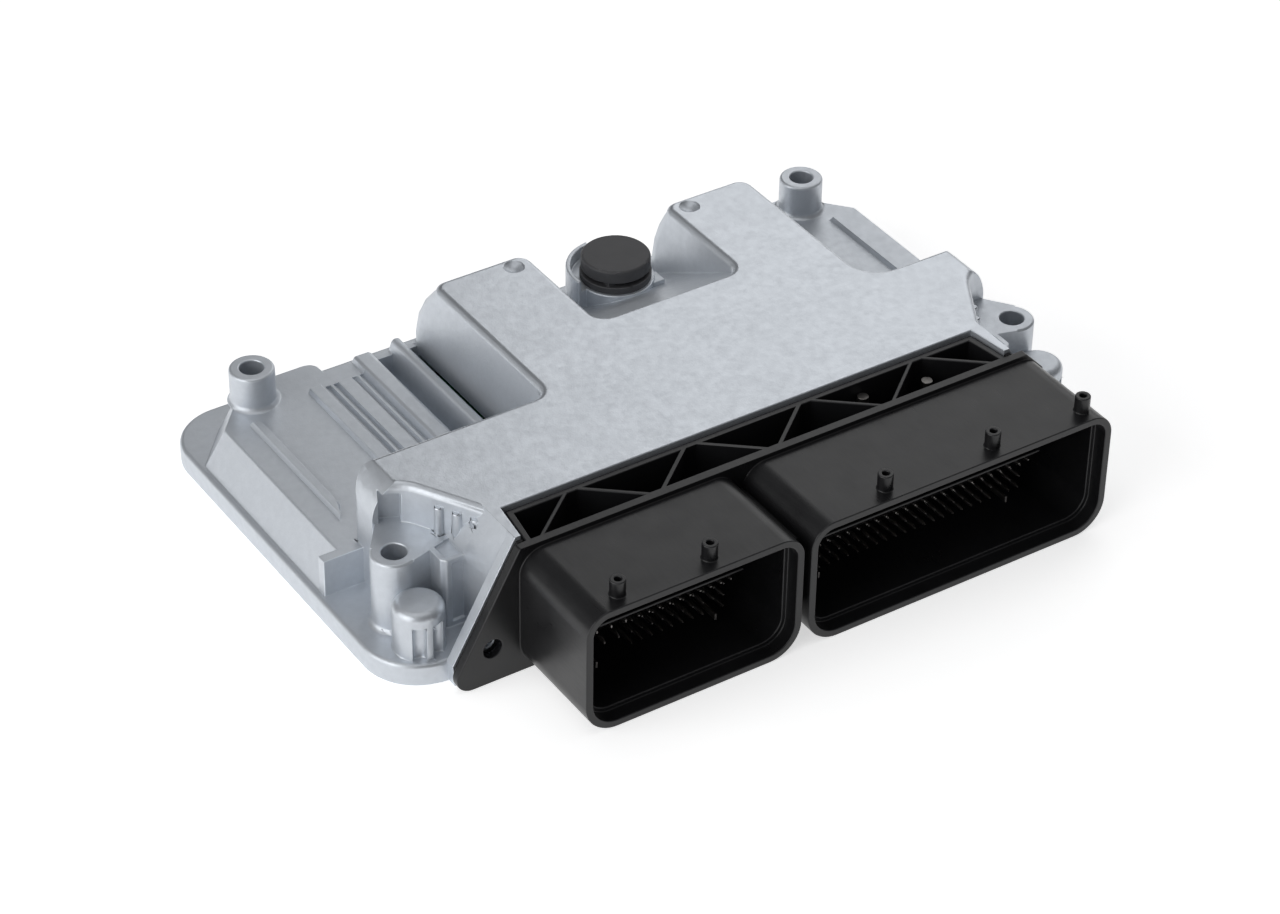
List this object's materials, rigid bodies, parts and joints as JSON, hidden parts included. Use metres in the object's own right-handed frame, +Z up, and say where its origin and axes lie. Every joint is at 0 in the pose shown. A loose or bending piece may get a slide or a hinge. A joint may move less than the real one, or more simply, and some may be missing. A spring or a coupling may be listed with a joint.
{
  "type": "engine control unit",
  "caption": "Sealed engine control unit in a cast housing with mounting bosses, cooling fins, a capped vent and two connector mouths.",
  "frame": {"origin": "middle of the footprint on the mounting plane", "axes": "+Z up from the mounting plane, +X along the connector header toward the large mouth, +Y from the mouths to the back of the housing"},
  "size_m": [0.212, 0.158, 0.0405],
  "materials": {
    "cast_aluminium": "satin as-cast grain",
    "black_plastic": "fine satin moulding",
    "vent_plastic": "matt",
    "gasket_rubber": "matt",
    "pin_metal": "tin plated",
    "membrane": "woven-free porous film",
    "pressed_cover": "pressed sheet",
    "screw_steel": "zinc plated",
    "board_laminate": "solder resist",
    "chip_package": "matt moulding",
    "thermal_pad": "soft pad",
    "capacitor_can": "plain can",
    "ferrite": "sintered",
    "ceramic_chip": "fired"
  },
  "bodies": {
    "root": {"upper_housing": "cast_aluminium", "connector_header": "black_plastic", "header_gasket": "gasket_rubber", "strip_seal": "gasket_rubber", "locating_pins": "pin_metal", "signal_pins_small": "pin_metal", "signal_pins_large": "pin_metal", "power_pins": "pin_metal", "index_blades": "pin_metal", "vent_body": "vent_plastic", "vent_cap": "vent_plastic", "vent_membrane": "membrane", "vent_seal": "gasket_rubber", "base_cover": "pressed_cover", "cover_seal": "gasket_rubber", "cover_screws": "screw_steel", "circuit_board": "board_laminate", "board_screws": "screw_steel", "main_processor": "chip_package", "flash_memory": "chip_package", "power_supply_chip": "chip_package", "output_drivers": "chip_package", "thermal_pads": "thermal_pad", "power_transistors": "chip_package", "storage_capacitors": "capacitor_can", "boost_coil": "ferrite", "bus_transceivers": "chip_package", "knock_interface": "chip_package", "crystal": "screw_steel", "pressure_sensor": "chip_package", "chip_capacitors": "ceramic_chip", "chip_resistors": "ceramic_chip", "current_shunts": "ferrite", "input_choke": "ferrite"}
  },
  "joints": []
}
